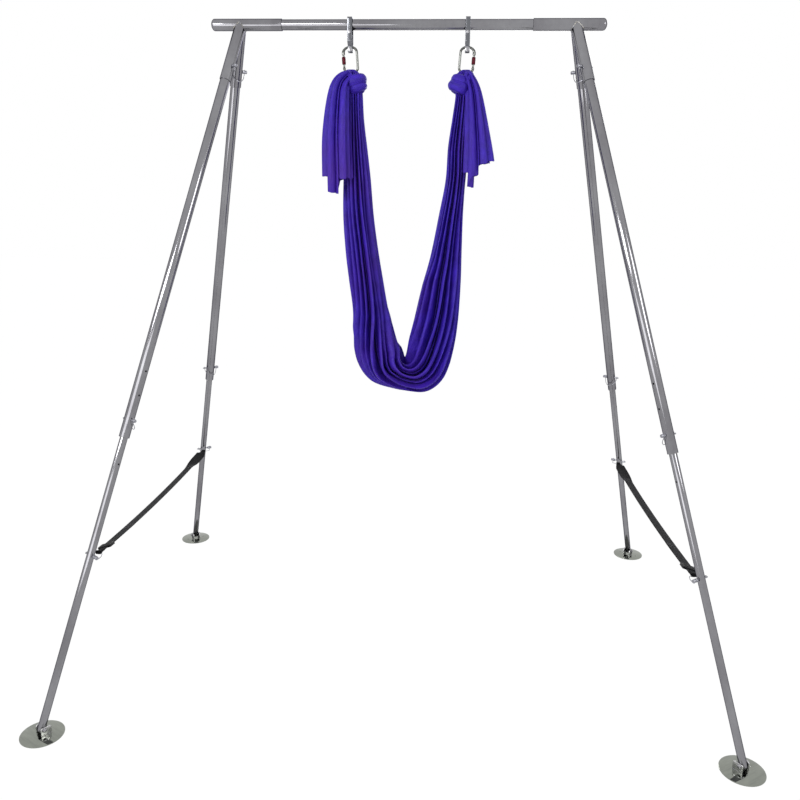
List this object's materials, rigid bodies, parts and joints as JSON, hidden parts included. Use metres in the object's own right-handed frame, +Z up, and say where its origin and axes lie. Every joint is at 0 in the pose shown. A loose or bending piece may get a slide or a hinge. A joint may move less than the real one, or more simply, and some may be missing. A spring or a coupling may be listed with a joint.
{
  "type": "aerial yoga frame",
  "caption": "Free-standing aerial yoga frame: crossbar on splayed, pinned legs with swivelling feet and side straps, carrying a violet fabric hammock on hangers and carabiners.",
  "frame": {"origin": "on the floor, at the middle of the frame's footprint", "axes": "+X along the crossbar to the right as seen from the front, +Y to the rear, +Z up"},
  "size_m": [2.9828, 2.1478, 2.9278],
  "materials": {
    "tube_steel": "mirror-polished stainless steel",
    "plate_steel": "polished stainless steel with brushed edges",
    "hanger_steel": "polished strip steel",
    "carabiner_steel": "bright plated steel",
    "fastener_steel": "zinc-plated",
    "pin_steel": "zinc-plated, turned head",
    "bail_wire": "plated spring wire",
    "red_sleeve": "dark red anodised, knurled",
    "violet_cloth": "violet two-way stretch knit with a soft sheen",
    "black_webbing": "black woven webbing",
    "buckle_plastic": "black moulded buckle"
  },
  "bodies": {
    "frame": {"crossbar_tube": "tube_steel", "left_head": "tube_steel", "right_head": "tube_steel", "front_left_upper_leg": "tube_steel", "front_right_upper_leg": "tube_steel", "rear_left_upper_leg": "tube_steel", "rear_right_upper_leg": "tube_steel", "front_left_lower_leg": "tube_steel", "front_right_lower_leg": "tube_steel", "rear_left_lower_leg": "tube_steel", "rear_right_lower_leg": "tube_steel", "front_left_foot_bolt": "fastener_steel", "front_right_foot_bolt": "fastener_steel", "rear_left_foot_bolt": "fastener_steel", "rear_right_foot_bolt": "fastener_steel", "front_left_strap_pin": "pin_steel", "front_right_strap_pin": "pin_steel", "rear_left_strap_pin": "pin_steel", "rear_right_strap_pin": "pin_steel", "front_left_strap_pin_bail": "bail_wire", "front_right_strap_pin_bail": "bail_wire", "rear_left_strap_pin_bail": "bail_wire", "rear_right_strap_pin_bail": "bail_wire", "left_strap": "black_webbing", "right_strap": "black_webbing", "left_strap_buckle": "buckle_plastic", "right_strap_buckle": "buckle_plastic"},
    "front_left_foot": {"front_left_foot_plate": "plate_steel"},
    "front_right_foot": {"front_right_foot_plate": "plate_steel"},
    "rear_left_foot": {"rear_left_foot_plate": "plate_steel"},
    "rear_right_foot": {"rear_right_foot_plate": "plate_steel"},
    "front_left_head_lock": {"front_left_head_pin": "pin_steel"},
    "front_right_head_lock": {"front_right_head_pin": "pin_steel"},
    "rear_left_head_lock": {"rear_left_head_pin": "pin_steel"},
    "rear_right_head_lock": {"rear_right_head_pin": "pin_steel"},
    "front_left_mid_lock": {"front_left_mid_pin": "pin_steel"},
    "front_right_mid_lock": {"front_right_mid_pin": "pin_steel"},
    "rear_left_mid_lock": {"rear_left_mid_pin": "pin_steel"},
    "rear_right_mid_lock": {"rear_right_mid_pin": "pin_steel"},
    "front_left_head_bow": {"front_left_head_pin_bail": "bail_wire"},
    "front_right_head_bow": {"front_right_head_pin_bail": "bail_wire"},
    "rear_left_head_bow": {"rear_left_head_pin_bail": "bail_wire"},
    "rear_right_head_bow": {"rear_right_head_pin_bail": "bail_wire"},
    "front_left_mid_bow": {"front_left_mid_pin_bail": "bail_wire"},
    "front_right_mid_bow": {"front_right_mid_pin_bail": "bail_wire"},
    "rear_left_mid_bow": {"rear_left_mid_pin_bail": "bail_wire"},
    "rear_right_mid_bow": {"rear_right_mid_pin_bail": "bail_wire"},
    "left_suspension": {"left_hanger": "hanger_steel", "left_hanger_upper_bolt": "fastener_steel", "left_hanger_lower_bolt": "fastener_steel", "left_carabiner": "carabiner_steel", "hammock_cloth": "violet_cloth"},
    "right_suspension": {"right_hanger": "hanger_steel", "right_hanger_upper_bolt": "fastener_steel", "right_hanger_lower_bolt": "fastener_steel", "right_carabiner": "carabiner_steel"},
    "left_gate_body": {"left_gate": "carabiner_steel"},
    "right_gate_body": {"right_gate": "carabiner_steel"},
    "left_sleeve_body": {"left_screw_sleeve": "red_sleeve"},
    "right_sleeve_body": {"right_screw_sleeve": "red_sleeve"}
  },
  "joints": [
    {"name": "hammock_swing", "type": "hinge", "parent": "frame", "child": "left_suspension", "pos_m": [-0.2465, 0, 2.9], "axis": [1, 0, 0], "range_deg": [-60, 60]},
    {"name": "right_hanger_swing", "type": "hinge", "parent": "frame", "child": "right_suspension", "pos_m": [0.268, 0, 2.9], "axis": [1, 0, 0], "range_deg": [-60, 60]},
    {"name": "front_left_foot_tilt", "type": "hinge", "parent": "frame", "child": "front_left_foot", "pos_m": [-1.405, -0.9875, 0.03], "axis": [0.8267, -0.5626, 0], "range_deg": [-35, 35]},
    {"name": "front_right_foot_tilt", "type": "hinge", "parent": "frame", "child": "front_right_foot", "pos_m": [1.405, -0.9875, 0.03], "axis": [-0.8267, -0.5626, 0], "range_deg": [-35, 35]},
    {"name": "rear_left_foot_tilt", "type": "hinge", "parent": "frame", "child": "rear_left_foot", "pos_m": [-1.405, 0.9875, 0.03], "axis": [0.8267, 0.5626, 0], "range_deg": [-35, 35]},
    {"name": "rear_right_foot_tilt", "type": "hinge", "parent": "frame", "child": "rear_right_foot", "pos_m": [1.405, 0.9875, 0.03], "axis": [-0.8267, 0.5626, 0], "range_deg": [-35, 35]},
    {"name": "front_left_head_pin_pull", "type": "slide", "parent": "frame", "child": "front_left_head_lock", "axis": [0.8267, -0.5626, 0], "range_m": [0, 0.064]},
    {"name": "front_right_head_pin_pull", "type": "slide", "parent": "frame", "child": "front_right_head_lock", "axis": [-0.8267, -0.5626, 0], "range_m": [0, 0.064]},
    {"name": "rear_left_head_pin_pull", "type": "slide", "parent": "frame", "child": "rear_left_head_lock", "axis": [0.8267, 0.5626, 0], "range_m": [0, 0.064]},
    {"name": "rear_right_head_pin_pull", "type": "slide", "parent": "frame", "child": "rear_right_head_lock", "axis": [-0.8267, 0.5626, 0], "range_m": [0, 0.064]},
    {"name": "front_left_mid_pin_pull", "type": "slide", "parent": "frame", "child": "front_left_mid_lock", "axis": [0.8267, -0.5626, 0], "range_m": [0, 0.064]},
    {"name": "front_right_mid_pin_pull", "type": "slide", "parent": "frame", "child": "front_right_mid_lock", "axis": [-0.8267, -0.5626, 0], "range_m": [0, 0.064]},
    {"name": "rear_left_mid_pin_pull", "type": "slide", "parent": "frame", "child": "rear_left_mid_lock", "axis": [0.8267, 0.5626, 0], "range_m": [0, 0.064]},
    {"name": "rear_right_mid_pin_pull", "type": "slide", "parent": "frame", "child": "rear_right_mid_lock", "axis": [-0.8267, 0.5626, 0], "range_m": [0, 0.064]},
    {"name": "front_left_head_bow_swing", "type": "hinge", "parent": "front_left_head_lock", "child": "front_left_head_bow", "pos_m": [-0.74536, -0.08268, 2.71905], "axis": [-0.2162, -0.3177, -0.9232], "range_deg": [0, 171]},
    {"name": "front_right_head_bow_swing", "type": "hinge", "parent": "front_right_head_lock", "child": "front_right_head_bow", "pos_m": [0.74536, -0.08268, 2.71905], "axis": [-0.2162, 0.3177, 0.9232], "range_deg": [0, 171]},
    {"name": "rear_left_head_bow_swing", "type": "hinge", "parent": "rear_left_head_lock", "child": "rear_left_head_bow", "pos_m": [-0.74536, 0.08268, 2.71905], "axis": [0.2162, -0.3177, 0.9232], "range_deg": [0, 171]},
    {"name": "rear_right_head_bow_swing", "type": "hinge", "parent": "rear_right_head_lock", "child": "rear_right_head_bow", "pos_m": [0.74536, 0.08268, 2.71905], "axis": [0.2162, 0.3177, -0.9232], "range_deg": [0, 171]},
    {"name": "front_left_mid_bow_swing", "type": "hinge", "parent": "front_left_mid_lock", "child": "front_left_mid_bow", "pos_m": [-1.09501, -0.59116, 1.23633], "axis": [-0.2162, -0.3177, -0.9232], "range_deg": [0, 171]},
    {"name": "front_right_mid_bow_swing", "type": "hinge", "parent": "front_right_mid_lock", "child": "front_right_mid_bow", "pos_m": [1.09501, -0.59116, 1.23633], "axis": [-0.2162, 0.3177, 0.9232], "range_deg": [0, 171]},
    {"name": "rear_left_mid_bow_swing", "type": "hinge", "parent": "rear_left_mid_lock", "child": "rear_left_mid_bow", "pos_m": [-1.09501, 0.59116, 1.23633], "axis": [0.2162, -0.3177, 0.9232], "range_deg": [0, 171]},
    {"name": "rear_right_mid_bow_swing", "type": "hinge", "parent": "rear_right_mid_lock", "child": "rear_right_mid_bow", "pos_m": [1.09501, 0.59116, 1.23633], "axis": [0.2162, 0.3177, -0.9232], "range_deg": [0, 171]},
    {"name": "left_gate_swing", "type": "hinge", "parent": "left_suspension", "child": "left_gate_body", "pos_m": [-0.27328, 0, 2.72147], "axis": [0, 1, 0], "range_deg": [0, 24], "stiffness_Nm_per_rad": 0.3, "springref_deg": -11.46},
    {"name": "right_gate_swing", "type": "hinge", "parent": "right_suspension", "child": "right_gate_body", "pos_m": [0.29478, 0, 2.72147], "axis": [0, -1, 0], "range_deg": [0, 24], "stiffness_Nm_per_rad": 0.3, "springref_deg": -11.46},
    {"name": "left_sleeve_turn", "type": "hinge", "parent": "left_gate_body", "child": "left_sleeve_body", "pos_m": [-0.27547, 0, 2.75279], "axis": [-0.0698, 0, 0.9976], "continuous": true},
    {"name": "right_sleeve_turn", "type": "hinge", "parent": "right_gate_body", "child": "right_sleeve_body", "pos_m": [0.29697, 0, 2.75279], "axis": [0.0698, 0, 0.9976], "continuous": true}
  ],
  "couplings": [
    {"joint": "right_hanger_swing", "follows": "hammock_swing", "ratio": 1},
    {"joint": "front_left_head_bow_swing", "follows": "front_left_head_pin_pull", "rad_per_m": 46.36},
    {"joint": "front_right_head_bow_swing", "follows": "front_right_head_pin_pull", "rad_per_m": 46.36},
    {"joint": "rear_left_head_bow_swing", "follows": "rear_left_head_pin_pull", "rad_per_m": 46.36},
    {"joint": "rear_right_head_bow_swing", "follows": "rear_right_head_pin_pull", "rad_per_m": 46.36},
    {"joint": "front_left_mid_bow_swing", "follows": "front_left_mid_pin_pull", "rad_per_m": 46.36},
    {"joint": "front_right_mid_bow_swing", "follows": "front_right_mid_pin_pull", "rad_per_m": 46.36},
    {"joint": "rear_left_mid_bow_swing", "follows": "rear_left_mid_pin_pull", "rad_per_m": 46.36},
    {"joint": "rear_right_mid_bow_swing", "follows": "rear_right_mid_pin_pull", "rad_per_m": 46.36}
  ]
}
